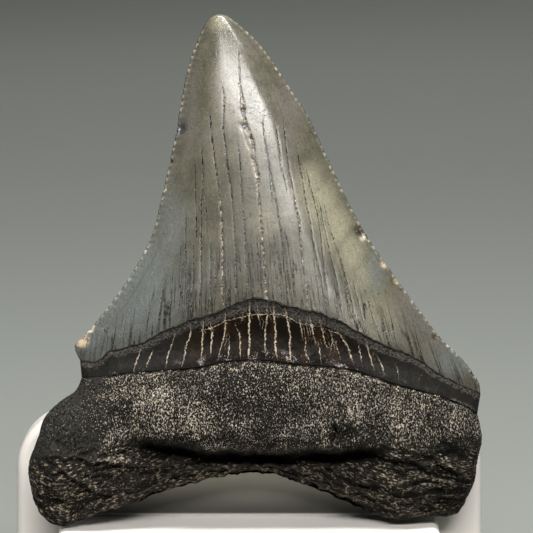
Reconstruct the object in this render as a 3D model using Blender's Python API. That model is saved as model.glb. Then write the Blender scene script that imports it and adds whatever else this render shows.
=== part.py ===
"""A large fossil shark tooth leaning in a white moulded display stand.

The tooth is laid out in its own upright plane in millimetres: across, depth (to the rear) and up,
measured from the point where it meets the shelf. It is then leaned back and set in the stand.
"""

import math

import bmesh
import bpy
import numpy as np

MM = 0.001
GAP = 0.3

# Stand
LEAN = math.radians(10.0)
SHELF_HEIGHT = 12.0
SHELF_WIDTH = 52.7
STAND_FRONT = -15.0
STAND_REAR = 15.0
PLATE_WIDTH = 65.0
PLATE_TOP_THICKNESS = 5.5
PLATE_HEIGHT = 26.3
PLATE_CORNER = 7.9
EDGE_ROUND = 1.2

# Tooth outline, as (across, up) points joined by smooth lines
TIP = [(-5.1, 69.55), (-4.3, 69.85), (-3.45, 69.7)]
CROWN_LEFT = [
    (-5.1, 69.55), (-6.35, 68.0), (-7.75, 64.6), (-8.7, 61.3), (-9.5, 57.1), (-10.2, 53.0),
    (-11.05, 49.0), (-12.15, 44.2), (-13.25, 39.7), (-14.9, 36.2), (-16.85, 33.0),
    (-19.2, 29.7), (-21.5, 26.9), (-23.85, 24.5), (-23.95, 23.4), (-23.3, 21.95),
]
CROWN_RIGHT = [
    (-3.45, 69.7), (-0.85, 68.0), (2.2, 64.85), (4.95, 60.7), (8.0, 56.0), (10.65, 50.4),
    (13.5, 44.3), (16.55, 38.8), (20.0, 33.8), (23.45, 29.1), (26.35, 25.25), (29.65, 21.95),
    (31.6, 19.2), (31.95, 17.4),
]
ENAMEL_LINE = [
    (-23.3, 21.95), (-20.9, 21.85), (-19.2, 23.4), (-16.9, 23.8), (-14.5, 24.55), (-11.85, 25.95),
    (-8.3, 27.6), (-5.25, 28.35), (-2.35, 29.55), (0.0, 30.5), (2.35, 30.4), (5.1, 29.65),
    (8.4, 28.85), (11.6, 27.9), (14.75, 26.15), (17.8, 24.55), (21.25, 23.2), (23.6, 22.1),
    (25.4, 20.65), (27.9, 19.3), (30.1, 18.2), (31.95, 17.4),
]
ROOT_LINE = [
    (-23.1, 19.6), (-19.45, 19.9), (-16.0, 20.4), (-10.5, 20.75), (-6.75, 21.1), (-3.85, 21.8),
    (-0.4, 22.0), (2.9, 21.95), (6.5, 21.5), (10.9, 21.2), (14.35, 20.75), (16.7, 20.0),
    (19.85, 18.9), (23.2, 18.0), (26.5, 17.1), (29.8, 15.7), (31.5, 14.55),
]
ROOT_LEFT = [
    (-23.1, 19.6), (-24.0, 17.8), (-26.35, 16.15), (-28.15, 14.2), (-29.1, 11.45), (-30.2, 8.4),
    (-30.4, 6.35), (-29.95, 3.6), (-29.4, 2.05),
]
ROOT_RIGHT = [
    (31.5, 14.55), (32.0, 12.4), (32.15, 11.05), (31.55, 8.0), (30.9, 4.7), (29.95, 2.6),
    (29.4, 1.5),
]
ROOT_BOTTOM = [
    (-29.4, 2.05), (-28.55, 0.7), (-27.2, -0.3), (-25.5, -0.7), (-23.6, -0.15), (-21.4, 0.7),
    (-18.9, 1.65), (-15.05, 2.75), (-10.9, 4.3), (-6.75, 5.25), (-4.0, 6.05), (0.15, 6.55),
    (2.9, 6.35), (7.05, 5.1), (10.5, 3.75), (14.2, 2.05), (17.8, 0.7), (19.6, 0.0), (22.9, 0.3),
    (26.35, 0.4), (28.6, 0.6), (29.4, 1.5),
]

# Depth of the middle of the tooth in front of and behind its own plane, by level:
# 0 tip, 1 lower edge of the enamel, 2 top of the root, 3 bottom of the root
FRONT_DEPTH = [
    (0.0, 0.5), (0.05, 1.3), (0.15, 2.3), (0.3, 3.3), (0.55, 4.7), (0.8, 5.9), (1.0, 6.4),
    (1.03, 6.0), (1.5, 5.9), (1.9, 6.1), (2.0, 6.5), (2.1, 7.4), (2.3, 8.3), (2.6, 8.5),
    (2.8, 8.0), (3.0, 7.2),
]
REAR_DEPTH = [
    (0.0, 0.4), (0.05, 0.9), (0.15, 1.3), (0.3, 1.8), (0.55, 2.6), (0.8, 3.4), (1.0, 4.0),
    (1.5, 4.5), (2.0, 4.9), (2.4, 5.3), (2.7, 5.1), (3.0, 4.6),
]

CROWN_BEND = 1.0
ROOT_TWIST = 1.3

# Notches of the cutting edges
LEFT_NOTCHES = 55
RIGHT_NOTCHES = 66
NOTCH_SWING = 0.11
BORDER = 0.42

# Cross groove of the root, the lower root set back under it, and the long crack of the crown
GROOVE = [
    (-17.5, 10.5), (-11.5, 10.1), (-6.8, 9.1), (0.1, 9.0), (7.0, 9.1), (12.5, 9.25), (19.5, 9.7),
]
GROOVE_DEPTH = 1.6
LOWER_ROOT_SET_BACK = 2.5
CRACK = [(-1.2, 63.5), (-1.1, 59.1), (-0.5, 55.5), (0.6, 51.8), (1.2, 46.9), (1.8, 40.0), (2.2, 31.7)]
CHIPS = [
    (-9.6, 53.8, 0.9, 0.35), (-0.5, 55.2, 0.7, 0.4), (15.2, 39.7, 0.9, 0.45),
    (18.7, 35.3, 0.8, 0.35), (20.1, 32.8, 0.8, 0.35), (25.8, 25.1, 1.2, 0.35),
    (-22.6, 25.6, 1.3, 0.45),
]

CROWN_ROWS = 22
BAND_LEVELS = [1.03, 1.28, 1.52, 1.76, 2.0]
ROOT_ROWS = 28
COLUMNS = 56


def smooth_line(points, steps=10):
    """Closely spaced points on a smooth line through the given ones."""
    p = np.array(points, float)
    p = np.vstack([2 * p[0] - p[1], p, 2 * p[-1] - p[-2]])
    t = np.linspace(0, 1, steps, endpoint=False)[:, None]
    pieces = []
    for a, b, c, d in zip(p, p[1:], p[2:], p[3:]):
        curved = 2 * b + (c - a) * t
        curved = curved + (2 * a - 5 * b + 4 * c - d) * t**2 + (3 * b - a - 3 * c + d) * t**3
        pieces.append(curved / 2)
    return np.vstack(pieces + [p[-2:-1]])


def along(line, share):
    """Points at the given shares of a line's length."""
    reach = np.concatenate([[0], np.cumsum(np.hypot(*np.diff(line, axis=0).T))])
    share = np.asarray(share) * reach[-1]
    return np.stack([np.interp(share, reach, line[:, 0]), np.interp(share, reach, line[:, 1])], -1)


LINES = {
    "crown": [smooth_line(edge) for edge in (TIP, ENAMEL_LINE, CROWN_LEFT, CROWN_RIGHT)],
    "band": [
        smooth_line(ENAMEL_LINE),
        smooth_line(ROOT_LINE),
        np.array([CROWN_LEFT[-1], ROOT_LEFT[0]]),
        np.array([CROWN_RIGHT[-1], ROOT_RIGHT[0]]),
    ],
    "root": [smooth_line(edge) for edge in (ROOT_LINE, ROOT_BOTTOM, ROOT_LEFT, ROOT_RIGHT)],
}


def region_at(level):
    """The region of the tooth that a level lies in, and how far down that region it is."""
    if level <= 1.0:
        return "crown", level
    if level <= 2.0:
        return "band", level - 1.0
    return "root", level - 2.0


def stretched(level, side):
    """Points of the tooth's plane at a level, at places from -1 (left edge) to 1 (right edge)."""
    name, down = region_at(level)
    top, bottom, left, right = LINES[name]
    share = ((side + 1) / 2)[:, None]
    ruled = (1 - down) * along(top, share[:, 0]) + down * along(bottom, share[:, 0])
    edges = (1 - share) * along(left, down) + share * along(right, down)
    upper = (1 - share) * top[0] + share * top[-1]
    lower = (1 - share) * bottom[0] + share * bottom[-1]
    return ruled + edges - (1 - down) * upper - down * lower


def places(level, count):
    """Places across a row: even on the crown, closer together near the round edges of the root."""
    even = np.linspace(-1, 1, count + 1)
    rounding = 0.85 * np.clip(level - 1, 0, 1)
    return (1 - rounding) * even + rounding * np.sin(even * math.pi / 2)


def bumps(across, up, size, seed):
    """Smooth random heights from -1 to 1, each bump about the given size."""
    table = np.random.default_rng(seed).uniform(-1, 1, (97, 89))
    fx = across / size + 400
    fz = up / size + 400
    ix = np.floor(fx).astype(int)
    iz = np.floor(fz).astype(int)
    tx = (fx - ix) ** 2 * (3 - 2 * (fx - ix))
    tz = (fz - iz) ** 2 * (3 - 2 * (fz - iz))
    low = table[ix % 97, iz % 89] * (1 - tx) + table[(ix + 1) % 97, iz % 89] * tx
    high = table[ix % 97, (iz + 1) % 89] * (1 - tx) + table[(ix + 1) % 97, (iz + 1) % 89] * tx
    return low * (1 - tz) + high * tz


def round_off(value, power):
    return np.sqrt(np.clip(1 - np.abs(value) ** power, 0, 1))


def side_profile(level, side, sharp):
    """How the depth falls to nothing at both edges: to a thin cutting edge on the crown, and
    round on the root."""
    root_share = np.clip((level - 0.9) / 1.1, 0, 1)
    round_edge = round_off(side, 2.6)
    if level > 2:
        round_edge = round_edge * round_off(level - 2, 7)
    return (1 - root_share) * sharp + root_share * round_edge


def front_relief(level, side, across, up):
    """Lumps, pits and grooves of the front face, as extra depth towards the front."""
    relief = np.zeros_like(across)
    path = np.array(CRACK)
    nearest = np.interp(-up, -path[:, 1], path[:, 0], left=99, right=99)
    relief -= 0.2 * np.exp(-(((across - nearest) / 0.3) ** 2))
    for x, z, radius, depth in CHIPS:
        relief -= depth * np.exp(-(((across - x) ** 2 + (up - z) ** 2) / radius**2))
    if level > 2:
        groove = np.array(GROOVE)
        inside = np.minimum(across - groove[0, 0], groove[-1, 0] - across)
        reach = np.clip(inside / 3.5, 0, 1)
        above = up - np.interp(across, groove[:, 0], groove[:, 1])
        relief -= reach * GROOVE_DEPTH * np.exp(-((above / 0.9) ** 2))
        relief -= reach * LOWER_ROOT_SET_BACK / (1 + np.exp((above - 0.5) / 0.55))
        relief += 0.35 * bumps(across, up, 4.5, 3) + 0.16 * bumps(across, up, 1.1, 4)
        fibres = bumps(across * 0.18, up - 0.11 * np.abs(across), 0.8, 5)
        relief += 0.2 * fibres * np.clip(1 - above / 2, 0, 1)
    return relief * np.clip((1 - np.abs(side)) * 6, 0, 1)


def centre_shift(level, side, up):
    """How far to the rear the middle of the thickness is: the tip bends back, the root twists."""
    bend = CROWN_BEND * np.clip((up - 25) / 45, 0, 1) ** 2
    return bend + ROOT_TWIST * side * np.clip(level - 2, 0, 1) ** 2


def face_points(level, side, front):
    """Points on the front or rear face at one level, at the given places from side to side."""
    across, up = stretched(level, side).T
    if front:
        depth = np.interp(level, *np.array(FRONT_DEPTH).T)
        sharp = 0.9 * np.cos(side * math.pi / 2) ** 1.3 + 0.1 * round_off(side, 2)
        depth = depth * side_profile(level, side, sharp)
        lobes = 1 - 0.3 * np.clip(level - 1.5, 0, 1) * np.abs(side) ** 2
        depth = -depth * lobes - front_relief(level, side, across, up)
    else:
        depth = np.interp(level, *np.array(REAR_DEPTH).T)
        depth = depth * side_profile(level, side, 1 - np.abs(side) ** 2.2)
        if level > 2:
            depth = depth + 0.25 * bumps(across, up, 3.5, 6) * np.clip((1 - np.abs(side)) * 6, 0, 1)
    return np.stack([across, depth + centre_shift(level, side, up), up], -1)


def edge_chain(rows, side, notches):
    """The points down one edge of the tooth, their levels, and where each row falls among them."""
    levels = [rows[0]]
    starts = [0]
    for upper, lower in zip(rows, rows[1:]):
        pieces = round(2 * notches / CROWN_ROWS) if lower <= 1.0 else 1
        levels += list(np.linspace(upper, lower, pieces + 1)[1:])
        starts.append(len(levels) - 1)
    points = []
    for level in levels:
        across, up = stretched(level, np.array([side]))[0]
        points.append([across, centre_shift(level, side, up), up])
    points = np.array(points)
    heading = np.gradient(points[:, [0, 2]], axis=0)
    outward = side * np.stack([-heading[:, 1], heading[:, 0]], -1)
    outward = outward / np.linalg.norm(outward, axis=1)[:, None]
    levels = np.array(levels)
    toothed = np.clip((0.965 - levels) * 40, 0, 1) * np.clip(levels * 20, 0, 1)
    swing = NOTCH_SWING * toothed * (-1) ** np.arange(len(levels))
    points[:, [0, 2]] += outward * swing[:, None]
    return points, levels, starts


def border_points(levels, side, front):
    """Points a little inside a notched edge, one for each level."""
    points = []
    for level in levels:
        end, inside = stretched(level, np.array([side, 0.98 * side]))
        above = stretched(level - 0.01, np.array([side]))[0]
        inward = (inside - end) / 0.02
        along_edge = (above - end) / np.hypot(*(above - end))
        reach = abs(inward[0] * along_edge[1] - inward[1] * along_edge[0])
        points.append(face_points(level, np.array([side * (1 - BORDER / reach)]), front)[0])
    return points


def fan(faces, upper, lower, chain, flip):
    """Triangles from two inner points to the edge points between their rows."""
    half = len(chain) // 2
    corners = [(upper, chain[half], lower)]
    for step in range(len(chain) - 1):
        corners.append((upper if step < half else lower, chain[step], chain[step + 1]))
    faces += [c[::-1] if flip else c for c in corners]


def zip_rows(faces, upper, lower, flip):
    """Triangles between the inner points of two rows that can differ in number."""
    i = j = 1
    m = len(upper) - 1
    n = len(lower) - 1
    while i < m - 1 or j < n - 1:
        if j == n - 1 or (i < m - 1 and (i + 1) * n <= (j + 1) * m):
            corners = (upper[i], lower[j], upper[i + 1])
            i += 1
        else:
            corners = (upper[i], lower[j], lower[j + 1])
            j += 1
        faces.append(corners[::-1] if flip else corners)


def row_levels():
    """The levels of the rows of points from tip to bottom."""
    levels = [row / CROWN_ROWS for row in range(CROWN_ROWS + 1)] + BAND_LEVELS
    return levels + [3 - (1 - row / ROOT_ROWS) ** 1.35 for row in range(1, ROOT_ROWS + 1)]


def build_tooth_shell():
    """Points and triangles of the closed tooth, in millimetres in its own plane."""
    rows = row_levels()
    last = len(rows) - 1
    points = []
    faces = []

    def add(new_points):
        first = len(points)
        points.extend(new_points)
        return list(range(first, first + len(new_points)))

    edges = []
    for side, notches in ((-1, LEFT_NOTCHES), (1, RIGHT_NOTCHES)):
        edge, levels, row_starts = edge_chain(rows, side, notches)
        edges.append((side, add(edge), levels, row_starts))

    def columns(row):
        return (8, 16, 32)[row] if row < 3 else COLUMNS

    def ends(row):
        return [edge[starts[row]] for _, edge, _, starts in edges]

    def inner_row(row, step, skipped, front):
        side = places(rows[row], columns(row) // step)
        return add(face_points(rows[row], side[skipped:-skipped], front))

    tip = inner_row(0, 1, 1, True)
    for index in tip:
        points[index] = points[index] * [1, 0, 1]
    bottom = inner_row(last, 1, 1, True)
    for front, step in ((True, 1), (False, 2)):
        borders = []
        for side, edge, levels, starts in edges:
            stop = starts[CROWN_ROWS]
            border = [edge[0]] + add(border_points(levels[1 : stop + 1], side, front))
            flip = front == (side > 0)
            for k in range(stop):
                pieces = [(edge[k], edge[k + 1], border[k + 1])]
                if k:
                    pieces.append((edge[k], border[k + 1], border[k]))
                faces.extend([piece[::-1] if flip else piece for piece in pieces])
            borders.append(border)
        upper = [ends(0)[0]] + tip + [ends(0)[1]]
        used = [row for row in range(1, last) if row % step == 0 or row > last - 4]
        above = 0
        for row in used + [last]:
            on_crown = row <= CROWN_ROWS
            chains = []
            for (_, edge, _, starts), border in zip(edges, borders):
                source = border if on_crown else edge
                chains.append(source[starts[above] : starts[row] + 1])
            if row == last:
                inner = bottom
            else:
                inner = inner_row(row, step, 2 if on_crown else 1, front)
            lower = [chains[0][-1]] + inner + [chains[1][-1]]
            fan(faces, upper[1], lower[1], chains[0], not front)
            fan(faces, upper[-2], lower[-2], chains[1], front)
            zip_rows(faces, upper, lower, not front)
            upper = lower
            if row == CROWN_ROWS:
                upper = [ends(row)[0]] + lower + [ends(row)[1]]
            above = row
    return np.array(points), faces


def seat_tooth(points):
    """Lean the tooth back, stand it on the shelf and bring it up to the plate."""
    across, depth, up = points.T
    rear = depth * math.cos(LEAN) + up * math.sin(LEAN)
    height = up * math.cos(LEAN) - depth * math.sin(LEAN)
    height = height - height.min() + SHELF_HEIGHT + GAP
    near_plate = height < PLATE_HEIGHT
    plate_front = plate_face(height[near_plate])
    rear = rear + (plate_front - rear[near_plate]).min() - GAP / math.cos(LEAN)
    return np.stack([across, rear, height], -1)


def plate_face(height):
    """How far to the rear the leaning front face of the plate is at a height."""
    return STAND_REAR - PLATE_TOP_THICKNESS - (PLATE_HEIGHT - height) * math.tan(LEAN)


def make_object(name, points, faces, material):
    mesh = bpy.data.meshes.new(name)
    mesh.from_pydata([tuple(p * MM) for p in points], [], faces)
    mesh.materials.append(material)
    obj = bpy.data.objects.new(name, mesh)
    bpy.context.scene.collection.objects.link(obj)
    return obj


def make_material(name, colour, roughness):
    material = bpy.data.materials.new(name)
    material.use_nodes = True
    shader = material.node_tree.nodes["Principled BSDF"]
    shader.inputs["Base Color"].default_value = (*colour, 1.0)
    shader.inputs["Roughness"].default_value = roughness
    return material


def plate_outline():
    """The plate seen from the front: square below, round corners above."""
    half = PLATE_WIDTH / 2
    outline = [(-half, 0.0), (half, 0.0)]
    for side in (1, -1):
        for step in range(9):
            turn = math.radians(step * 90 / 8)
            if side < 0:
                turn = math.pi / 2 - turn
            across = side * (half - PLATE_CORNER + PLATE_CORNER * math.cos(turn))
            outline.append((across, PLATE_HEIGHT - PLATE_CORNER + PLATE_CORNER * math.sin(turn)))
    return outline


def rounded(obj, width):
    """Round every edge except those on the ground."""
    shell = bmesh.new()
    shell.from_mesh(obj.data)
    bmesh.ops.recalc_face_normals(shell, faces=shell.faces)
    edges = []
    for edge in shell.edges:
        on_ground = all(vert.co.z < 0.01 * MM for vert in edge.verts)
        if not on_ground and edge.calc_face_angle() > math.radians(30):
            edges.append(edge)
    bmesh.ops.bevel(shell, geom=edges, offset=width * MM, segments=3, profile=0.5, affect="EDGES")
    shell.to_mesh(obj.data)
    shell.free()


def build_stand(material):
    outline = plate_outline()
    count = len(outline)
    front = [np.array([x, plate_face(z), z]) for x, z in outline]
    rear = [np.array([x, STAND_REAR, z]) for x, z in outline]
    faces = [tuple(range(count)), tuple(range(2 * count - 1, count - 1, -1))]
    faces += [(k, (k + 1) % count, count + (k + 1) % count, count + k)[::-1] for k in range(count)]
    stand = make_object("stand", front + rear, faces, material)
    rounded(stand, EDGE_ROUND)

    half = SHELF_WIDTH / 2
    corners = []
    for z in (0.0, SHELF_HEIGHT):
        for x, y in ((-half, STAND_FRONT), (half, STAND_FRONT), (half, 12.0), (-half, 12.0)):
            corners.append(np.array([x, y, z]))
    sides = [(k, (k + 1) % 4, 4 + (k + 1) % 4, 4 + k) for k in range(4)]
    shelf = make_object("shelf_block", corners, [(3, 2, 1, 0), (4, 5, 6, 7)] + sides, material)
    rounded(shelf, EDGE_ROUND)
    shelf.hide_render = True
    shelf.display_type = "WIRE"
    join = stand.modifiers.new("shelf", "BOOLEAN")
    join.operation = "UNION"
    join.solver = "EXACT"
    join.object = shelf


for old in list(bpy.data.objects):
    bpy.data.objects.remove(old)

bone = make_material("tooth", (0.24, 0.22, 0.18), 0.35)
plastic = make_material("stand", (0.84, 0.82, 0.79), 0.4)
shell_points, shell_faces = build_tooth_shell()
make_object("tooth", seat_tooth(shell_points), shell_faces, bone)
build_stand(plastic)
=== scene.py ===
"""A large fossil shark tooth leaning in a white moulded display stand, dressed for rendering.

The tooth is laid out in its own upright plane in millimetres: across, depth (to the rear) and up.
It is then leaned back and set in the stand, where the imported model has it.
"""

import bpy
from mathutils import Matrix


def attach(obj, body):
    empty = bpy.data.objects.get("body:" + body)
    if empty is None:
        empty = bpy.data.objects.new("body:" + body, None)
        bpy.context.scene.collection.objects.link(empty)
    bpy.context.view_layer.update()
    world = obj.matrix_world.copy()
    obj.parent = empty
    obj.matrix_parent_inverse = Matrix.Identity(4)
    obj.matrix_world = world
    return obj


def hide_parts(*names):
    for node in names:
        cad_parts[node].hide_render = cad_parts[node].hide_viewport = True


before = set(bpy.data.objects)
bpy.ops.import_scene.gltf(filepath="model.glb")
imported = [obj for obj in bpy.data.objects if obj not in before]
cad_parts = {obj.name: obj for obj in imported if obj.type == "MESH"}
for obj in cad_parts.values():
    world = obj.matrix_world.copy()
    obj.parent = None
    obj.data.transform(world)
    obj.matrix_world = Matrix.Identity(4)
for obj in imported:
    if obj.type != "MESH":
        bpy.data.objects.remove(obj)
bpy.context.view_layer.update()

import math

import bmesh
import bpy
import numpy as np

MM = 0.001

# Stand
LEAN = math.radians(10.0)
SHELF_HEIGHT = 12.0
SHELF_WIDTH = 52.7
# The shelf's rear edge lies inside the plate
SHELF_REAR = 12.0
STAND_FRONT = -15.0
STAND_REAR = 15.0
PLATE_WIDTH = 64.98
PLATE_TOP_THICKNESS = 5.5
PLATE_HEIGHT = 26.3
PLATE_CORNER = 7.9
EDGE_ROUND = 1.2

# Where the origin of the tooth's plane lies in the stand: to the rear and up
TOOTH_REAR = 1.3448
TOOTH_RISE = 12.8452

# Tooth outline, as (across, up) points joined by smooth lines
TIP = [(-5.2, 69.55), (-4.2, 69.85), (-3.0, 69.7)]
CROWN_LEFT = [
    (-5.2, 69.55), (-6.35, 68.0), (-7.75, 64.6), (-8.7, 61.3), (-9.5, 57.1), (-10.2, 53.0),
    (-11.05, 49.0), (-12.15, 44.2), (-13.25, 39.7), (-14.9, 36.2), (-16.85, 33.0),
    (-19.2, 29.7), (-21.5, 26.9), (-23.85, 24.5), (-23.95, 23.4), (-23.3, 21.95),
]
CROWN_RIGHT = [
    (-3.0, 69.7), (-0.85, 68.0), (2.2, 64.85), (4.95, 60.7), (8.0, 56.0), (10.65, 50.4),
    (13.5, 44.3), (16.55, 38.8), (20.0, 33.8), (23.45, 29.1), (26.35, 25.25), (29.65, 21.95),
    (31.6, 19.2), (31.95, 17.4),
]
ENAMEL_LINE = [
    (-23.3, 21.95), (-20.9, 21.85), (-19.2, 23.4), (-16.9, 23.8), (-14.5, 24.55), (-11.85, 25.95),
    (-8.3, 27.6), (-5.25, 28.35), (-2.35, 29.55), (0.0, 30.5), (2.35, 30.4), (5.1, 29.65),
    (8.4, 28.85), (11.6, 27.9), (14.75, 26.15), (17.8, 24.55), (21.25, 23.2), (23.6, 22.1),
    (25.4, 20.65), (27.9, 19.3), (30.1, 18.2), (31.95, 17.4),
]
ROOT_LINE = [
    (-23.1, 19.6), (-19.45, 19.9), (-16.0, 20.4), (-10.5, 20.75), (-6.75, 21.1), (-3.85, 21.8),
    (-0.4, 22.0), (2.9, 21.95), (6.5, 21.5), (10.9, 21.2), (14.35, 20.75), (16.7, 20.0),
    (19.85, 18.9), (23.2, 18.0), (26.5, 17.1), (29.8, 15.7), (31.5, 14.55),
]
ROOT_LEFT = [
    (-23.1, 19.6), (-24.0, 17.8), (-26.35, 16.15), (-28.15, 14.2), (-29.1, 11.45), (-30.2, 8.4),
    (-30.4, 6.35), (-29.95, 3.6), (-29.4, 2.05),
]
ROOT_RIGHT = [
    (31.5, 14.55), (32.0, 12.4), (32.15, 11.05), (31.55, 8.0), (30.9, 4.7), (29.95, 2.6),
    (29.4, 1.5),
]
ROOT_BOTTOM = [
    (-29.4, 2.05), (-28.55, 0.7), (-27.2, -0.3), (-25.5, -0.7), (-23.6, -0.15), (-21.4, 0.7),
    (-18.9, 1.65), (-15.05, 2.75), (-10.9, 4.3), (-6.75, 5.25), (-4.0, 6.05), (0.15, 6.55),
    (2.9, 6.35), (7.05, 5.1), (10.5, 3.75), (14.2, 2.05), (17.8, 0.7), (19.6, 0.0), (22.9, 0.3),
    (26.35, 0.4), (28.6, 0.6), (29.4, 1.5),
]

# Depth of the middle of the tooth in front of and behind its own plane, by level:
# 0 tip, 1 lower edge of the enamel, 2 top of the root, 3 bottom of the root.
# On the crown it is the depth at the tip, and how fast it grows from there.
CROWN_FRONT = 1.2, [
    (0.0, 10.2), (0.05, 9.9), (0.1, 9.2), (0.15, 8.5), (0.2, 7.9), (0.25, 7.0), (0.32, 5.6),
    (0.42, 4.4), (0.6, 3.6), (0.8, 3.3), (1.0, 3.1),
]
CROWN_REAR = 0.48, [(0.0, 5.5), (0.1, 4.8), (0.3, 3.65), (0.6, 3.07), (1.0, 2.7)]
LOWER_FRONT = [
    (1.0, 6.4), (1.012, 6.13), (1.5, 5.9), (1.9, 5.95), (1.97, 6.02), (2.0, 6.5), (2.1, 7.4),
    (2.3, 8.3), (2.6, 8.5), (2.8, 8.0), (3.0, 7.2),
]
LOWER_REAR = [(1.0, 4.0), (1.5, 4.5), (2.0, 4.9), (2.4, 5.3), (2.7, 5.1), (3.0, 4.6)]
CROWN_BEND = 1.0
ROOT_TWIST = 1.3

# Cross groove of the root, and the lower root set back under it
GROOVE = [
    (-17.5, 10.5), (-11.5, 10.1), (-6.8, 9.1), (0.1, 9.0), (7.0, 9.1), (12.5, 9.25), (19.5, 9.7),
]
GROOVE_DEPTH = 2.2
LOWER_ROOT_SET_BACK = 2.5

# Ridges of the lower root: height, then the points along each
ROOT_RIDGES = [
    (0.5, [(-26.0, 7.3), (-22.3, 5.45), (-18.9, 4.0), (-16.7, 3.0)]),
    (0.45, [(-27.5, 9.2), (-22.0, 8.6), (-17.0, 8.3), (-13.0, 7.9)]),
    (0.5, [(15.5, 9.3), (18.8, 9.0), (22.4, 8.4), (25.2, 6.6)]),
    (0.55, [(24.5, 9.6), (27.2, 7.4), (30.2, 5.6)]),
    (0.4, [(14.5, 5.2), (18.5, 5.6), (22.5, 4.6), (25.5, 2.4)]),
    (0.4, [(-14.0, 6.6), (-9.0, 7.0), (-4.0, 7.6), (1.5, 7.9), (6.0, 7.5), (10.5, 6.4)]),
]

# Pits of the root: across, up, radius, depth
ROOT_PITS = [
    (2.2, 11.0, 0.3, 0.5), (13.6, 11.6, 0.7, 0.45), (-14.5, 12.6, 0.4, 0.3), (-4.2, 10.8, 0.5, 0.4),
    (-19.8, 11.4, 0.8, 0.35), (22.4, 7.2, 0.9, 0.5), (26.4, 4.2, 0.8, 0.45), (-23.5, 6.0, 0.8, 0.3),
]

# Parts of the root with few pale grains: across, up, half width, half height, strength
ROOT_DARK_PATCHES = [
    (13.5, 12.2, 3.8, 1.5, 0.75), (-18.3, 15.2, 2.6, 1.7, 0.6), (4.0, 11.0, 5.0, 0.7, 0.5),
    (-6.0, 11.4, 6.0, 0.7, 0.5), (27.5, 10.0, 2.5, 1.5, 0.5), (0.5, 17.5, 8.0, 4.5, 0.4),
]

# Share of them at the rear, and parts of the lower root with more of them
REAR_SPECKS = 0.55
ROOT_LIGHT_PATCHES = [
    (25.2, 7.0, 5.0, 1.5, 0.4), (-21.5, 9.2, 5.0, 1.2, 0.35), (-18.9, 3.7, 2.6, 0.8, 0.35),
    (20.5, 1.6, 5.0, 0.9, 0.2), (-25.5, 3.5, 2.0, 2.0, 0.15),
]

# Cutting edges: number of serrations, and how far they stand out
LEFT_SERRATIONS = 55
RIGHT_SERRATIONS = 66
SERRATION_SWING = 0.2

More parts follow.
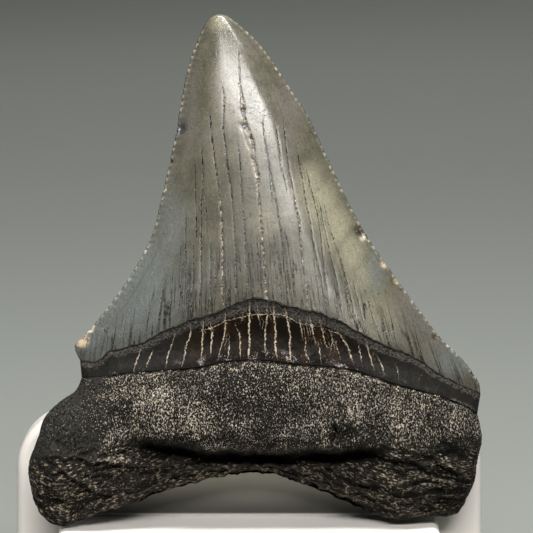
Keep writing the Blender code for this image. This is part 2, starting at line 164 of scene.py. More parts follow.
# Cracks of the crown: half width, share filled with pale sediment, points
CRACKS = [
    (0.17, 0.35, [(-1.15, 60.2), (-0.95, 57.6), (-0.75, 55.6), (-0.2, 53.2)]),
    (0.1, 0, [(-1.4, 64.6), (-1.35, 63), (-1.3, 61.6), (-1.25, 60.3), (-1.15, 59)]),
    (0.17, 0.3, [(-1.3, 61), (-1.2, 59.6), (-1, 58.4), (-0.8, 57.5), (-0.7, 56.6), (-0.6, 55.2),
        (-0.3, 54.2), (0.4, 52.4), (0.7, 51.1), (0.85, 49.6)]),
    (0.12, 0.35, [(0.7, 51.1), (0.8, 49.7), (1.1, 48.3), (1.4, 46.9), (1.2, 45.5), (1.4, 44.2),
        (1.7, 41.1), (1.9, 38), (2.2, 34.8), (2.3, 31.7), (2.6, 29.9)]),
    (0.08, 0.7, [(-0.8, 53.7), (-0.4, 52.4), (0, 51.2), (0.3, 50.2), (0.6, 48.9), (1, 47.2),
        (1.2, 45.8), (1.1, 44.4)]),
    (0.08, 0, [(-5.4, 56.2), (-5, 52.3), (-4.5, 48.5), (-4.1, 45)]),
    (0.1, 0.45, [(-4.1, 45), (-3.8, 42.8), (-3.7, 41.6), (-3.6, 38.2), (-3.6, 33.1), (-3.5, 30.4),
        (-3.5, 29.4)]),
    (0.08, 0.05, [(-3.6, 59.6), (-3.4, 58), (-3.5, 53.8), (-3.2, 51.5), (-2.9, 48.5), (-2.3, 44.4),
        (-2, 40.2), (-1.8, 36.7), (-1.7, 33.1), (-1.7, 30.8), (-1.7, 30.2)]),
    (0.07, 0.1, [(-1.6, 52.7), (-1.2, 49.7), (-1.1, 46.9), (-0.8, 43), (-0.7, 41.3), (-0.5, 39.1),
        (-0.4, 36.1), (-0.1, 33.3), (0, 31.2)]),
    (0.06, 0, [(-7.4, 49.7), (-7.3, 44.2), (-7.2, 41.3), (-7.2, 38.2)]),
    (0.06, 0.05, [(-6.5, 52), (-6.3, 46.9), (-6.5, 43.4), (-6.5, 36.3), (-6.5, 33.1), (-6.6, 31.7),
        (-6.8, 28.3)]),
    (0.04, 0, [(-6, 45.4), (-5.8, 41.3), (-5.7, 38.6)]),
    (0.05, 0, [(-8.6, 42.2), (-8.7, 39.2), (-8.6, 35.3), (-8.7, 33.1), (-8.9, 27.7)]),
    (0.04, 0, [(-9.4, 39.6), (-9.3, 37.7), (-9.5, 34.5)]),
    (0.05, 0.3, [(-5.2, 38.6), (-5.2, 35.6), (-5.2, 32.3), (-5.3, 30.4), (-5.4, 28.7)]),
    (0.04, 0, [(-7.6, 38.6), (-7.6, 33.3), (-7.7, 31.5), (-7.9, 28)]),
    (0.07, 0.1, [(1.9, 55.5), (2, 53.3), (2.4, 51.1), (3.1, 47.1), (3.7, 44.2), (4.1, 41.3),
        (4.4, 39.2), (4.7, 37.1), (4.8, 34.4), (5.2, 32.2), (5.2, 30.4), (5.2, 30)]),
    (0.06, 0.1, [(3.6, 55.5), (3.7, 54.4), (4.2, 51.1), (4.4, 48.7), (4.9, 46.9), (5.2, 45.1)]),
    (0.06, 0, [(4.7, 55.2), (5.1, 51.5), (5.7, 47.3), (6.2, 45)]),
    (0.1, 0.35, [(6.2, 45), (6.5, 43), (6.9, 41.3), (7.1, 38.2), (7.3, 35.9), (7.5, 33.9),
        (7.8, 32.3), (8, 30.4), (8.1, 29.3)]),
    (0.06, 0, [(6.6, 51.3), (6.7, 50.5), (7.2, 47.7), (7.7, 44.4), (8.3, 41.6), (8.8, 38.6),
        (9.3, 35.9), (9.9, 33.1), (10.2, 30.9), (10.5, 28.6)]),
    (0.05, 0.05, [(7.9, 48.3), (8.4, 46.1), (9, 43.7), (9.5, 41.6), (9.8, 39.5), (10.1, 36.7),
        (10.5, 33.1), (10.8, 30.6), (11.1, 28.4)]),
    (0.05, 0, [(9.5, 44.2), (9.8, 43), (10.2, 40.8), (10.8, 38.2), (11.4, 35.5), (12, 33.1),
        (12.4, 30.6), (12.8, 27.6)]),
    (0.04, 0, [(10.3, 43.5), (11, 40.4), (11.8, 38.1), (12.6, 35.5), (13.2, 32.4), (14.2, 26.8)]),
    (0.04, 0, [(12, 38), (13, 34.4), (13.7, 31.7), (14.9, 26.4)]),
    (0.06, 0, [(3.3, 39.7), (3.7, 37.3), (4.2, 34.4), (4.4, 31.5), (4.5, 30.2)]),
    (0.06, 0, [(4.8, 39.9), (5.4, 37.7), (5.8, 34.5), (6.1, 31.7), (6.3, 29.7)]),
    (0.06, 0.1, [(1.2, 39.2), (1.2, 35.9), (1.3, 32.2), (1.3, 30.8)]),
    (0.05, 0, [(-2.9, 35.6), (-2.8, 31.5), (-2.8, 29.7)]),
    (0.05, 0, [(0.5, 36.4), (0.6, 30.9)]),
    (0.05, 0.1, [(2.6, 49.7), (3, 45.5), (3.2, 43.5)]),
    (0.06, 0, [(-20.7, 27.9), (-20.4, 27), (-20, 26.4), (-19.3, 25.1)]),
    (0.05, 0, [(-10.4, 34.2), (-10.6, 31), (-11, 27.2)]),
    (0.045, 0, [(-11.6, 33.6), (-12, 30.2), (-12.6, 26.6)]),
    (0.045, 0, [(-9, 36.5), (-9.3, 32), (-9.6, 28.3)]),
    (0.045, 0, [(-8, 35), (-8.2, 31.5), (-8.5, 28.4)]),
    (0.045, 0.1, [(-4.5, 37), (-4.5, 33.5), (-4.6, 29.6)]),
    (0.045, 0, [(3.4, 36), (3.7, 33.2), (3.9, 30.8)]),
    (0.045, 0, [(9, 35), (9.4, 32.2), (9.7, 29.2)]),
    (0.045, 0, [(11.8, 32.6), (12.3, 30.2), (12.8, 28)]),
    (0.045, 0, [(14.2, 33), (15, 30), (15.8, 26.6)]),
    (0.04, 0, [(15.6, 32.5), (16.6, 29.4), (17.4, 26)]),
    (0.04, 0, [(-13, 31.8), (-13.6, 28.8), (-14.2, 25.6)]),
]

# Pale cross cracks of the dark band: half width, points
VEINS = [
    (0.095, [(-14.8, 23.6), (-15.3, 22.2), (-15.8, 20.5)]),
    (0.12, [(-13.1, 23.5), (-13.6, 22.4), (-14, 21.3)]),
    (0.095, [(-10.1, 25.6), (-10.6, 24.1), (-11.1, 22.7), (-11.3, 21.2)]),
    (0.103, [(-7.9, 26.9), (-8, 25.4), (-8.6, 24.2), (-8.7, 23.1), (-9.2, 21.1)]),
    (0.095, [(-6.2, 27.8), (-6.3, 25.6), (-6.4, 23.9), (-6.5, 21.5)]),
    (0.155, [(-5.2, 27.1), (-5, 25.3), (-5.1, 24.2), (-5.2, 23.2)]),
    (0.103, [(-3.2, 28.4), (-3.2, 26.8), (-3.4, 25.3), (-3.8, 23.9), (-4.2, 22.4)]),
    (0.095, [(-2.7, 25.4), (-2.7, 23.9), (-2.9, 22.1)]),
    (0.086, [(-0.7, 29.1), (-1, 27.6)]),
    (0.103, [(-1.7, 27), (-1.2, 25.3), (-1.2, 23.9), (-1.1, 22.3)]),
    (0.146, [(0.1, 29.6), (0.1, 28), (0, 26.6), (0.1, 24.6), (-0.1, 22.1)]),
    (0.069, [(1.2, 29.8), (1.3, 28.4), (1.6, 26.8)]),
    (0.103, [(2.5, 29.6), (2.5, 28.4), (2.3, 26.6), (2.2, 24.8), (2.3, 23.1)]),
    (0.129, [(3.4, 29.5), (3.5, 27.8), (3.7, 25.8), (3.6, 24.2), (4, 22.1)]),
    (0.129, [(4.9, 29.4), (5.2, 28), (5.6, 25.8), (5.6, 23.9), (5.8, 21.9)]),
    (0.103, [(6.8, 28.1), (7.1, 26.6), (7.3, 25.3)]),
    (0.103, [(7.8, 27.9), (8, 26.4), (8.3, 25.2)]),
    (0.103, [(8.3, 28.3), (8.7, 26.2), (9.1, 24.5)]),
    (0.103, [(7.8, 25.2), (7.7, 23.5), (8.3, 21.9)]),
    (0.103, [(9.5, 24.6), (9.7, 23.3), (9.9, 21.8)]),
    (0.103, [(9.6, 27.6), (10.1, 25.9), (10.3, 24.7), (10.8, 23.9)]),
    (0.095, [(11.1, 26.2), (11.4, 24.8), (11.1, 23.1)]),
    (0.095, [(11.9, 24.7), (12.1, 23.7), (12.4, 22.6)]),
    (0.12, [(12.3, 25.8), (13.4, 24.2), (13.9, 22.8), (14.3, 21.6)]),
    (0.052, [(14.8, 25), (15.2, 23.1), (15.5, 21.7)]),
    (0.103, [(16, 24.8), (16.4, 23.3), (17.1, 20.9)]),
    (0.103, [(17.4, 22.9), (18.1, 21.6), (18.5, 20.2)]),
    (0.069, [(20.1, 21.6), (20.4, 20.4), (20.5, 19.7)]),
    (0.086, [(23.7, 20.2), (23.3, 19.6)]),
    (0.086, [(25.4, 20.6), (25.4, 19.9)]),
    (0.052, [(-6.8, 26.1), (-5.8, 26.4), (-4.8, 26.7), (-3.7, 27.3), (-2.6, 27.7), (-1.7, 27.9),
        (0.5, 28.4), (2.3, 28.4), (4.1, 28.5), (5.5, 28), (6.5, 27.4), (7.4, 27.2), (8.4, 27),
        (9.7, 26.8)]),
    (0.052, [(10.4, 26.5), (11, 26.2), (11.9, 26), (13.2, 25.2)]),
]

# Damage of the edges: across, up, radius, depth of the dent, kind
CHIPS = [
    (-9.5, 54.0, 0.95, 0.4, "dark"), (-11.7, 45.7, 0.4, 0.15, "cream"),
    (15.2, 39.9, 0.8, 0.3, "brown"), (15.6, 38.9, 0.5, 0.35, "cream"),
    (18.6, 35.3, 0.6, 0.3, "orange"), (20.4, 33.0, 0.5, 0.3, "orange"),
    (25.6, 25.3, 0.45, 0.2, "brown"), (30.9, 20.4, 0.45, 0.15, "brown"),
    (-23.0, 24.9, 1.15, 0.35, "orange"), (-22.0, 26.4, 0.7, 0.25, "cream"),
    (-0.85, 56.4, 0.42, 0.08, "brown"), (-0.75, 54.2, 0.42, 0.1, "dark"),
    (0.3, 52.4, 0.3, 0.05, "brown"), (-10.9, 49.5, 0.5, 0.15, "brown"),
]

# Colour patches of the enamel: across, up, half width, half height, strength
ENAMEL_PATCHES = {
    # Bluish patches: painted reflection of the soft lights on the lower flanks
    "blue_reflection": [
        (-15.5, 31.5, 7, 8.5, 1), (-20.5, 25.5, 5, 4, 1), (-10.5, 40, 3, 6, 0.6),
        (25.5, 28, 3, 2.6, 0.5), (28.4, 22, 3.2, 2.6, 0.8), (17.5, 34.5, 1.6, 3.2, 0.6),
    ],
    "yellow": [
        (8.4, 46.4, 1.9, 3, 0.8), (9.8, 43.4, 2.4, 3.4, 0.95), (11.7, 40.2, 2.3, 3.4, 1),
        (13.9, 36.6, 2.2, 3.2, 0.9), (15.2, 33.6, 2.6, 3.4, 0.7), (16.8, 28.5, 4.6, 4.5, 0.6),
        (7, 33, 5, 5, 0.3), (-4.2, 69, 1.8, 1.6, 0.7), (2.4, 41.5, 2.6, 4, 0.45),
    ],
    "brown": [
        (21.5, 28, 2.6, 4.2, 1), (-8.3, 57.5, 1.5, 8.5, 0.8), (-11.5, 48, 1.6, 5, 0.6),
        (5.4, 57, 1.9, 6.5, 0.8), (0.5, 65.5, 1.6, 2, 0.5), (24.8, 23.5, 2.6, 2, 0.7),
    ],
    # Pale patches: paler enamel, with painted sheen where they lie along the highlight near the tip
    # and down the crest
    "pale": [
        (-2.6, 59.5, 2.6, 6, 0.9), (0.8, 52.5, 3.2, 5, 0.6), (5.6, 44, 1.6, 6, 0.4),
        (-4.6, 52, 2, 5, 0.4),
    ],
}

# Spacing of the mesh's points along a row, and numbers of rows
CROWN_SPACING = 0.185
CROWN_ROWS = 262
BAND_ROWS = 46
ROOT_SPACING = 0.165
ROOT_ROWS = 118
REAR_SPACING = 0.3


def smooth_line(points, steps=10):
    """Closely spaced points on a smooth line through the given ones."""
    p = np.array(points, float)
    p = np.vstack([2 * p[0] - p[1], p, 2 * p[-1] - p[-2]])
    t = np.linspace(0, 1, steps, endpoint=False)[:, None]
    pieces = []
    for a, b, c, d in zip(p, p[1:], p[2:], p[3:]):
        curved = 2 * b + (c - a) * t
        curved = curved + (2 * a - 5 * b + 4 * c - d) * t**2 + (3 * b - a - 3 * c + d) * t**3
        pieces.append(curved / 2)
    return np.vstack(pieces + [p[-2:-1]])


def reach_along(line):
    return np.concatenate([[0], np.cumsum(np.hypot(*np.diff(line, axis=0).T))])


def along(line, share, across=False):
    """Points at the given shares of a line's length, or of its width where across is set."""
    reach = line[:, 0] - line[0, 0] if across else reach_along(line)
    share = np.asarray(share) * reach[-1]
    return np.stack([np.interp(share, reach, line[:, 0]), np.interp(share, reach, line[:, 1])], -1)


LINES = {
    "crown": [smooth_line(edge) for edge in (TIP, ENAMEL_LINE, CROWN_LEFT, CROWN_RIGHT)],
    "band": [
        smooth_line(ENAMEL_LINE),
        smooth_line(ROOT_LINE),
        np.array([CROWN_LEFT[-1], ROOT_LEFT[0]]),
        np.array([CROWN_RIGHT[-1], ROOT_RIGHT[0]]),
    ],
    "root": [smooth_line(edge) for edge in (ROOT_LINE, ROOT_BOTTOM, ROOT_LEFT, ROOT_RIGHT)],
}


def softened(line, share):
    """The middle of the stretch of a line around a share of its length, which rounds corners."""
    reach = min(0.06, share, 1 - share)
    return along(line, share + np.linspace(-reach, reach, 13)).mean(0)


def region_at(level):
    """The region of the tooth that a level lies in, and how far down that region it is."""
    if level <= 1.0:
        return "crown", level
    if level <= 2.0:
        return "band", level - 1.0
    return "root", level - 2.0


def stretched(level, side):
    """Points of the tooth's plane at a level, at places from -1 (left edge) to 1 (right edge)."""
    name, down = region_at(level)
    top, bottom, left, right = LINES[name]
    share = ((side + 1) / 2)[:, None]
    lower_row = along(bottom, share[:, 0], name != "root")
    ruled = (1 - down) * along(top, share[:, 0], name != "crown") + down * lower_row
    edges = (1 - share) * along(left, down) + share * along(right, down)
    if name == "crown":
        # Corners of the outline are felt near the outline only
        near_left, near_right = (1 - share) - (1 - share) ** 12, share - share**12
        edges = edges + near_left * (softened(left, down) - along(left, down))
        edges = edges + near_right * (softened(right, down) - along(right, down))
    upper = (1 - share) * top[0] + share * top[-1]
    lower = (1 - share) * bottom[0] + share * bottom[-1]
    return ruled + edges - (1 - down) * upper - down * lower


def places(level, count):
    """Places across a row: even on the crown, closer together near the round edges of the root."""
    even = np.linspace(-1, 1, count + 1)
    rounding = 0.85 * np.clip(level - 1, 0, 1)
    return (1 - rounding) * even + rounding * np.sin(even * math.pi / 2)


def lumps(points, size, seed):
    """Smooth random values from -1 to 1 at points in space, each lump about the given size."""
    table = np.random.default_rng(seed).uniform(-1, 1, 4096)
    at = np.asarray(points) / size + 500
    cell = np.floor(at).astype(np.int64)
    part = at - cell
    part = part * part * (3 - 2 * part)
    value = np.zeros(len(at))
    for corner in range(8):
        step = np.array([corner & 1, corner >> 1 & 1, corner >> 2])
        weight = np.prod(np.where(step, part, 1 - part), axis=1)
        c = cell + step
        value += weight * table[(c[:, 0] * 7349 ^ c[:, 1] * 19349 ^ c[:, 2] * 83483) & 4095]
    return value


def rise(value, low, high):
    """A smooth rise from 0 at low to 1 at high."""
    t = np.clip((value - low) / (high - low), 0, 1)
    return t * t * (3 - 2 * t)


def bell(value, width):
    """A smooth hump that is 1 where a value is 0 and dies out about two widths away."""
    return np.exp(-((value / width) ** 2))


def upright(across, up):
    """Points in space for lumps of a value that changes across and up only."""
    return np.stack([across, np.zeros_like(across), up], -1)


def round_off(value, power):
    return np.sqrt(np.clip(1 - np.abs(value) ** power, 0, 1))


def side_profile(level, side, sharp):
    """How the depth falls to nothing at both edges: to a thin cutting edge on the crown, and
    round on the root."""
    root_share = rise(level, 0.8, 2.0)
    round_edge = round_off(side, 2.6) * round_off(np.clip(level - 2, 0, 1), 7)
    return (1 - root_share) * sharp + root_share * round_edge


def centre_shift(level, side, up):
    """How far to the rear the middle of the thickness is: the tip bends back, the root twists."""
    bend = CROWN_BEND * np.clip((up - 25) / 45, 0, 1) ** 2
    return bend + ROOT_TWIST * side * np.clip(level - 2, 0, 1) ** 2


def smooth_value(at, table):
    """The height at one place of a smooth curve through a table's points, without overshoot."""
    place, value = np.array(table).T
    slope = np.diff(value) / np.diff(place)
    product = slope[1:] * slope[:-1]
    level = 2 * product / np.where(product > 0, slope[1:] + slope[:-1], 1)
    tangent = np.concatenate([slope[:1], np.where(product > 0, level, 0), slope[-1:]])
    k = min(max(int(np.searchsorted(place, at)) - 1, 0), len(slope) - 1)
    width = place[k + 1] - place[k]
    t = (at - place[k]) / width
    bend = (value[k] - value[k + 1]) * (2 * t**3 - 3 * t**2)
    start = tangent[k] * (t**3 - 2 * t**2 + t)
    return value[k] + bend + width * (start + tangent[k + 1] * (t**3 - t**2))


def crown_depths(first, steepness):
    """Depth at close levels of the crown, from the depth at the tip and how fast it grows."""
    levels = np.linspace(0, 1, 4 * CROWN_ROWS + 1)
    slopes = np.array([smooth_value(level, steepness) for level in levels])
    steps = (slopes[1:] + slopes[:-1]) / 2 * np.diff(levels)
    return levels, first + np.concatenate([[0], np.cumsum(steps)])


def half_thickness(level, crown, lower):
    """Depth of the middle of one face from the tooth's own plane."""
    if level > 1.0:
        return smooth_value(level, lower)
    return float(np.interp(level, *crown))


def rows_of_points(levels, counts, front):
    """The plain points of one face, row by row: plane points and (side, level) of each."""
    rows = []
    crown = crown_depths(*(CROWN_FRONT if front else CROWN_REAR))
    for level, count in zip(levels, counts):
        side = places(level, count)
        across, up = stretched(level, side).T
        if front:
            depth = half_thickness(level, crown, LOWER_FRONT)
            blade = (1 - np.abs(side) ** 2.1) ** 1.1
            keel = (1 - np.abs(side) ** 2.6) ** 1.15
            sharp = blade + (keel - blade) * rise(level, 0.75, 0.15)
            sharp = 0.9 * sharp + 0.1 * round_off(side, 2)
            depth = -depth * side_profile(level, side, sharp)
            depth = depth * (1 - 0.3 * np.clip(level - 1.5, 0, 1) * np.abs(side) ** 2)
        else:
            depth = half_thickness(level, crown, LOWER_REAR)
            depth = depth * side_profile(level, side, 1 - np.abs(side) ** 2.2)
        depth = depth * math.sqrt(1 - (1 - min(level / 0.012, 1)) ** 2)
        depth = depth + centre_shift(level, side, up)
        rows.append(np.stack([across, depth, up, side, np.full(len(side), level)], -1))
    return rows


def zip_rows(faces, upper, lower, flip):
    """Faces between two rows that can differ in number."""
    if len(upper) == len(lower):
        for k in range(len(upper) - 1):
            face = (upper[k], lower[k], lower[k + 1], upper[k + 1])
            faces.append(face[::-1] if flip else face)
        return
    i = j = 0
    m = len(upper) - 1
    n = len(lower) - 1
    while i < m or j < n:
        if j == n or (i < m and (i + 1) * n <= (j + 1) * m):
            face = (upper[i], lower[j], upper[i + 1])
            i += 1
        else:
            face = (upper[i], lower[j], lower[j + 1])
            j += 1
        faces.append(face[::-1] if flip else face)


def pillow(levels, spacing, top_shut, bottom_shut):
    """A closed form between a front and a rear face that share both side edges: points with side
    and level, faces, which points are at the front and how many faces are. Where top_shut or
    bottom_shut is set the two faces share that row too; otherwise a flat lid joins them."""
    widths = [reach_along(stretched(level, np.linspace(-1, 1, 60)))[-1] for level in levels]
    shut = {0: top_shut, len(levels) - 1: bottom_shut}
    points, faces, grids = [], [], []
    for front in (True, False):
        gap = spacing if front else REAR_SPACING
        counts = [max(12, 12 * math.ceil(width / gap / 12)) for width in widths]
        for k in shut:
            if shut[k] and not front:
                counts[k] = len(grids[0][k]) - 1
        grid = []
        for k, row in enumerate(rows_of_points(levels, counts, front)):
            if shut.get(k) and not front:
                grid.append(grids[0][k])
                continue
            new = row if front else row[1:-1]
            numbers = list(range(len(points), len(points) + len(new)))
            points.extend(new)
            grid.append(numbers if front else [grids[0][k][0], *numbers, grids[0][k][-1]])
        grids.append(grid)
        for upper, lower in zip(grid, grid[1:]):
            zip_rows(faces, upper, lower, not front)
        if front:
            front_points, front_faces = len(points), len(faces)
    if not top_shut:
        zip_rows(faces, grids[0][0], grids[1][0], True)
    if not bottom_shut:
        zip_rows(faces, grids[0][-1], grids[1][-1], False)
    return np.array(points), faces, np.arange(len(points)) < front_points, front_faces


def tuck(points, insets):
    """Draw the points of some levels in towards the middle of the tooth."""
    for level, inset in insets.items():
        chosen = np.abs(points[:, 4] - level) < 1e-6
        part = points[chosen]
        centre_x = (part[:, 0].max() + part[:, 0].min()) / 2
        half = (part[:, 0].max() - part[:, 0].min()) / 2
        part[:, 0] = centre_x + (part[:, 0] - centre_x) * (1 - inset / half)
        mid = centre_shift(level, part[:, 3], part[:, 2])
        off = part[:, 1] - mid
        part[:, 1] = mid + np.sign(off) * np.clip(np.abs(off) - inset, 0, None)
        points[chosen] = part


def nearest_on(line, x, z):
    """Distance of points to a line, their side of it (1 or -1) and how far along it they are."""
    best = np.full(len(x), 9.0)
    turn = np.ones(len(x))
    where = np.zeros(len(x))
    reach = reach_along(line)
    for (ax, az), (bx, bz), start, stop in zip(line, line[1:], reach, reach[1:]):
        ux, uz = (bx - ax) / (stop - start), (bz - az) / (stop - start)
        t = np.clip((x - ax) * ux + (z - az) * uz, 0, stop - start)
        dx, dz = x - ax - t * ux, z - az - t * uz
        away = np.hypot(dx, dz)
        closer = away < best
        best[closer] = away[closer]
        turn[closer] = np.where(dx * uz - dz * ux < 0, -1, 1)[closer]
        where[closer] = start + t[closer]
    return best, turn, where


def line_field(across, up, lines):
    """For each point: signed distance to the nearest line, plain distance, that line's half width
    there (thinning to nothing at its ends) and its other value."""
    best = np.full(len(across), 9.0)
    signed = best.copy()
    width = np.zeros(len(across))
    other = width.copy()
    for half_width, *more, corners in lines:
        line = smooth_line(corners, 4)
        low, high = line.min(0) - 1.5, line.max(0) + 1.5
        near = (across > low[0]) & (across < high[0]) & (up > low[1]) & (up < high[1])
        near = np.flatnonzero(near)
        away, turn, where = nearest_on(line, across[near], up[near])
        closer = away < best[near]
        pick = near[closer]
        best[pick] = away[closer]
        signed[pick] = (away * turn)[closer]
        to_end = np.minimum(where, reach_along(line)[-1] - where)[closer]
        width[pick] = half_width * np.clip(to_end / 1.2, 0.25, 1)
        other[pick] = more[0] if more else 0
    return signed, best, width, other


def patch_weight(across, up, patches):
    weight = np.zeros(len(across))
    for x, z, half_width, half_height, strength in patches:
        away = ((across - x) / half_width) ** 2 + ((up - z) / half_height) ** 2
        weight = np.maximum(weight, strength * np.exp(-(away**1.2)))
    return weight


def edge_facts(points):
    """Distance of crown points to the nearer cutting edge, how far round its serration each point
    is (1 on the bead, 0 in the nick), the outward direction there and the serration's size."""
    distance = np.full(len(points), 9.0)
    bead = np.zeros(len(points))
    size = np.zeros(len(points))
    outward = np.zeros((len(points), 2))
    for sign, line, number in (
        (-1, LINES["crown"][2], LEFT_SERRATIONS),
        (1, LINES["crown"][3], RIGHT_SERRATIONS),
    ):
        heading = np.gradient(line, axis=0)
        normal = sign * np.stack([-heading[:, 1], heading[:, 0]], -1)
        normal /= np.linalg.norm(normal, axis=1)[:, None]
        reach = reach_along(line)
        chosen = np.flatnonzero((points[:, 4] <= 1.0) & (points[:, 3] * sign > 0.2))
        distance[chosen], _, where = nearest_on(line, points[chosen, 0], points[chosen, 2])
        phase = where / reach[-1] * number
        phase = phase + 0.35 * lumps(upright(phase / 5, phase * 0 + sign), 1.0, 11)
        bead[chosen] = np.abs(np.sin(math.pi * phase)) ** 0.6
        for axis in (0, 1):
            outward[chosen, axis] = np.interp(where, reach, normal[:, axis])
        each = lumps(upright(np.floor(phase), phase * 0 + 7 * sign), 1.0, 12)
        ends = np.clip(where / 3, 0, 1) * np.clip((reach[-1] - where) / 2.5, 0, 1)
        size[chosen] = (0.75 + 0.35 * each) * ends
    return distance, bead, outward, size


def chip_weights(across, up, wanted):
    weight = np.zeros(len(across))
    for x, z, radius, _, kind in CHIPS:
        if kind == wanted:
            away = np.hypot(across - x, up - z) / radius
            weight = np.maximum(weight, 1 - rise(away, 0.55, 1.15))
    return weight


def vertex_normals(points, faces):
    """Unit normals of the points of a mesh, from its faces."""
    normal = np.zeros_like(points)
    for size in (3, 4):
        chosen = np.array([face for face in faces if len(face) == size])
        if not len(chosen):
            continue
        a, c = points[chosen[:, 0]], points[chosen[:, 2]]
        b, d = points[chosen[:, 1]], points[chosen[:, -1]]
        across = np.cross(c - a, d - b) if size == 4 else np.cross(b - a, c - a)
        for corner in range(size):
            for axis in range(3):
                normal[:, axis] += np.bincount(chosen[:, corner], across[:, axis], len(points))
    return normal / np.maximum(np.linalg.norm(normal, axis=1), 1e-12)[:, None]


def seated(points):
    """Lean points of the tooth's plane back and set them in the stand, in metres."""
    across, depth, up = points.T
    rear = depth * math.cos(LEAN) + up * math.sin(LEAN) + TOOTH_REAR
    height = up * math.cos(LEAN) - depth * math.sin(LEAN) + TOOTH_RISE
    return np.stack([across, rear, height], -1) * MM


def new_object(name, points, faces):
    """A mesh object, from points in metres."""
    mesh = bpy.data.meshes.new(name)
    mesh.from_pydata(np.asarray(points).tolist(), [], faces)
    obj = bpy.data.objects.new(name, mesh)
    bpy.context.scene.collection.objects.link(obj)
    return obj


def shade_smooth(mesh):
    mesh.polygons.foreach_set("use_smooth", np.ones(len(mesh.polygons), bool))


def tooth_piece(name, points, faces, attributes, materials):
    """A piece of the tooth, with values at its points for its materials to read."""
    piece = new_object(name, seated(points), faces)
    for key, values in {"plane": points, **attributes}.items():
        vector = values.ndim == 2
        layer = piece.data.attributes.new(key, "FLOAT_VECTOR" if vector else "FLOAT", "POINT")
        values = np.asarray(values, np.float32).ravel()
        layer.data.foreach_set("vector" if vector else "value", values)
    shade_smooth(piece.data)
    for material in materials:
        piece.data.materials.append(material)
    return piece


def root_relief(across, up, level, side):
    """Relief of the front of the root, as depth to the front, with how fibrous it is and how deep
    in the cross groove each point lies."""
    groove = np.array(GROOVE)
    flat = upright(across, up)
    lay = upright(side * 9, level * 16)
    wobble = 0.3 * lumps(flat, 3.0, 21) + 0.15 * lumps(flat, 0.8, 22)
    inside = np.minimum(across - groove[0, 0], groove[-1, 0] - across) + 1.2 * lumps(lay, 0.9, 23)
    above = up - np.interp(across, groove[:, 0], groove[:, 1]) + wobble
    cut = rise(inside, -0.5, 4.5)
    relief = -cut * GROOVE_DEPTH * bell(above, 0.8)
    relief -= rise(inside, -3.0, 7.0) * LOWER_ROOT_SET_BACK * (1 - rise(above, -0.7, 1.3))
    # The small upright notch above the groove on the right, and a few pits
    notch = bell(across - 11.4 - 0.15 * (up - 11), 0.3)
    relief -= 1.5 * notch * rise(up, 9.5, 10.6) * (1 - rise(up, 12.8, 13.8))
    for x, z, radius, depth in ROOT_PITS:
        relief -= depth * bell(np.hypot(across - x, up - z), radius)
    for height, corners in ROOT_RIDGES:
        line = smooth_line(corners, 4)
        over = up - np.interp(across, line[:, 0], line[:, 1]) + 0.35 * lumps(flat, 1.2, 29)
        ends = np.minimum(across - line[0, 0], line[-1, 0] - across)
        ridge = bell(over, 0.3) - 0.9 * bell(over + 0.65, 0.4)
        relief += height * ridge * rise(ends, -0.6, 1.5)
    # Fibres run along the arch below the groove and over the lobes, and fade out on the cushion
    below = (1 - rise(above, -0.2, 1.4)) * rise(inside, -4.0, 3.0)
    lobes = rise(np.abs(side), 0.4, 0.65) * (1 - rise(up, 7.5, 12.5))
    fibrous = np.maximum(below, lobes)
    fibres = 0.22 * lumps(lay, 0.9, 24) + 0.26 * lumps(lay * [1.6, 1, 1.5], 0.6, 25)
    slits = rise(lumps(lay * [1.3, 1, 1.7], 0.6, 28), 0.1, 0.45)
    flakes = 3 * lumps(lay * [1.0, 1, 1.2], 1.3, 30)
    whole = np.floor(flakes)
    flakes = (whole + rise(flakes - whole, 0.55, 1.0)) / 3
    relief += fibrous * (0.7 * fibres - 0.3 * slits + 0.45 * flakes)
    relief += 0.3 * lumps(flat, 4.5, 26) + 0.14 * lumps(flat, 1.3, 27)
    return relief, fibrous, cut * bell(above + 0.1, 1.0), slits * fibrous


